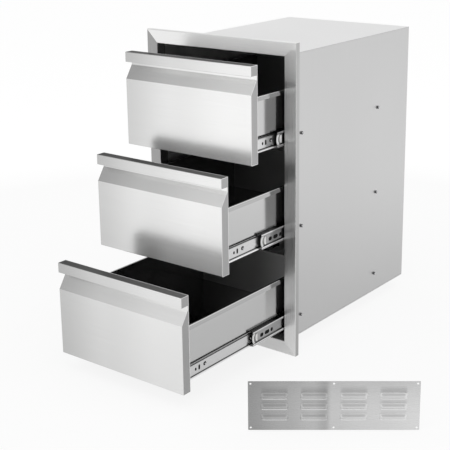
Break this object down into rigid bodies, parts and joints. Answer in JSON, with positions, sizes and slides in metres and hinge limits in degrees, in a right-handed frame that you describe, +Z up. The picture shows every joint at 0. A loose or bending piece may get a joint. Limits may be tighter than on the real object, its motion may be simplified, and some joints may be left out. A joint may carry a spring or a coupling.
{
  "type": "outdoor kitchen drawer unit",
  "caption": "Built-in stainless drawer unit with a mitred front frame, sheet housing, grooved drawer fronts on ball slides, and a loose louvred vent plate.",
  "frame": {"origin": "middle of the housing's underside in the plane that the front frame seats on", "axes": "+X to the right seen from the front, +Y into the island, +Z up"},
  "size_m": [0.815, 0.9005, 0.724],
  "materials": {
    "front_steel": "brushed along the width",
    "frame_steel": "brushed along each bar, mitred corners",
    "housing_steel": "satin mill finish",
    "box_steel": "satin mill finish",
    "slide_steel": "zinc-plated, semi-bright",
    "cage_steel": "plain, lightly greased",
    "fastener_steel": "plain stainless",
    "end_plastic": "white moulded plastic",
    "stop_plastic": "black moulded plastic",
    "vent_steel": "brushed along the length"
  },
  "bodies": {
    "cabinet": {"frame_top_rail": "frame_steel", "frame_bottom_rail": "frame_steel", "frame_left_stile": "frame_steel", "frame_right_stile": "frame_steel", "housing_left_side": "housing_steel", "housing_right_side": "housing_steel", "housing_top": "housing_steel", "housing_bottom": "housing_steel", "housing_back": "housing_steel", "rail_screws": "fastener_steel", "rail_nuts": "fastener_steel", "rail_rear_stops": "stop_plastic", "vent_panel": "vent_steel", "top_left_outer_rail": "slide_steel", "top_right_outer_rail": "slide_steel", "centre_left_outer_rail": "slide_steel", "centre_right_outer_rail": "slide_steel", "bottom_left_outer_rail": "slide_steel", "bottom_right_outer_rail": "slide_steel"},
    "top_drawer": {"top_front_skin": "front_steel", "top_front_end_caps": "front_steel", "top_front_liner": "front_steel", "top_box_tray": "box_steel", "top_box_front_wall": "box_steel", "top_box_back_wall": "box_steel", "top_left_inner_rail": "slide_steel", "top_right_inner_rail": "slide_steel"},
    "top_middle_rails": {"top_left_middle_rail": "slide_steel", "top_right_middle_rail": "slide_steel", "top_rail_end_pieces": "end_plastic"},
    "top_outer_cages": {"top_outer_ball_cages": "cage_steel"},
    "top_inner_cages": {"top_inner_ball_cages": "cage_steel"},
    "centre_drawer": {"centre_front_skin": "front_steel", "centre_front_end_caps": "front_steel", "centre_front_liner": "front_steel", "centre_box_tray": "box_steel", "centre_box_front_wall": "box_steel", "centre_box_back_wall": "box_steel", "centre_left_inner_rail": "slide_steel", "centre_right_inner_rail": "slide_steel"},
    "centre_middle_rails": {"centre_left_middle_rail": "slide_steel", "centre_right_middle_rail": "slide_steel", "centre_rail_end_pieces": "end_plastic"},
    "centre_outer_cages": {"centre_outer_ball_cages": "cage_steel"},
    "centre_inner_cages": {"centre_inner_ball_cages": "cage_steel"},
    "bottom_drawer": {"bottom_front_skin": "front_steel", "bottom_front_end_caps": "front_steel", "bottom_front_liner": "front_steel", "bottom_box_tray": "box_steel", "bottom_box_front_wall": "box_steel", "bottom_box_back_wall": "box_steel", "bottom_left_inner_rail": "slide_steel", "bottom_right_inner_rail": "slide_steel"},
    "bottom_middle_rails": {"bottom_left_middle_rail": "slide_steel", "bottom_right_middle_rail": "slide_steel", "bottom_rail_end_pieces": "end_plastic"},
    "bottom_outer_cages": {"bottom_outer_ball_cages": "cage_steel"},
    "bottom_inner_cages": {"bottom_inner_ball_cages": "cage_steel"}
  },
  "joints": [
    {"name": "top_drawer_slide", "type": "slide", "parent": "cabinet", "child": "top_drawer", "axis": [0, -1, 0], "range_m": [-0.1145, 0.3355]},
    {"name": "top_middle_rails_slide", "type": "slide", "parent": "cabinet", "child": "top_middle_rails", "axis": [0, -1, 0], "range_m": [-0.05725, 0.16775]},
    {"name": "top_outer_cages_slide", "type": "slide", "parent": "cabinet", "child": "top_outer_cages", "axis": [0, -1, 0], "range_m": [-0.02863, 0.08388]},
    {"name": "top_inner_cages_slide", "type": "slide", "parent": "cabinet", "child": "top_inner_cages", "axis": [0, -1, 0], "range_m": [-0.08588, 0.25163]},
    {"name": "centre_drawer_slide", "type": "slide", "parent": "cabinet", "child": "centre_drawer", "axis": [0, -1, 0], "range_m": [-0.2195, 0.2305]},
    {"name": "centre_middle_rails_slide", "type": "slide", "parent": "cabinet", "child": "centre_middle_rails", "axis": [0, -1, 0], "range_m": [-0.10975, 0.11525]},
    {"name": "centre_outer_cages_slide", "type": "slide", "parent": "cabinet", "child": "centre_outer_cages", "axis": [0, -1, 0], "range_m": [-0.05488, 0.05763]},
    {"name": "centre_inner_cages_slide", "type": "slide", "parent": "cabinet", "child": "centre_inner_cages", "axis": [0, -1, 0], "range_m": [-0.16463, 0.17288]},
    {"name": "bottom_drawer_slide", "type": "slide", "parent": "cabinet", "child": "bottom_drawer", "axis": [0, -1, 0], "range_m": [-0.3545, 0.0955]},
    {"name": "bottom_middle_rails_slide", "type": "slide", "parent": "cabinet", "child": "bottom_middle_rails", "axis": [0, -1, 0], "range_m": [-0.17725, 0.04775]},
    {"name": "bottom_outer_cages_slide", "type": "slide", "parent": "cabinet", "child": "bottom_outer_cages", "axis": [0, -1, 0], "range_m": [-0.08863, 0.02388]},
    {"name": "bottom_inner_cages_slide", "type": "slide", "parent": "cabinet", "child": "bottom_inner_cages", "axis": [0, -1, 0], "range_m": [-0.26588, 0.07163]}
  ],
  "couplings": [
    {"joint": "top_middle_rails_slide", "follows": "top_drawer_slide", "ratio": 0.5},
    {"joint": "top_outer_cages_slide", "follows": "top_drawer_slide", "ratio": 0.25},
    {"joint": "top_inner_cages_slide", "follows": "top_drawer_slide", "ratio": 0.75},
    {"joint": "centre_middle_rails_slide", "follows": "centre_drawer_slide", "ratio": 0.5},
    {"joint": "centre_outer_cages_slide", "follows": "centre_drawer_slide", "ratio": 0.25},
    {"joint": "centre_inner_cages_slide", "follows": "centre_drawer_slide", "ratio": 0.75},
    {"joint": "bottom_middle_rails_slide", "follows": "bottom_drawer_slide", "ratio": 0.5},
    {"joint": "bottom_outer_cages_slide", "follows": "bottom_drawer_slide", "ratio": 0.25},
    {"joint": "bottom_inner_cages_slide", "follows": "bottom_drawer_slide", "ratio": 0.75}
  ]
}
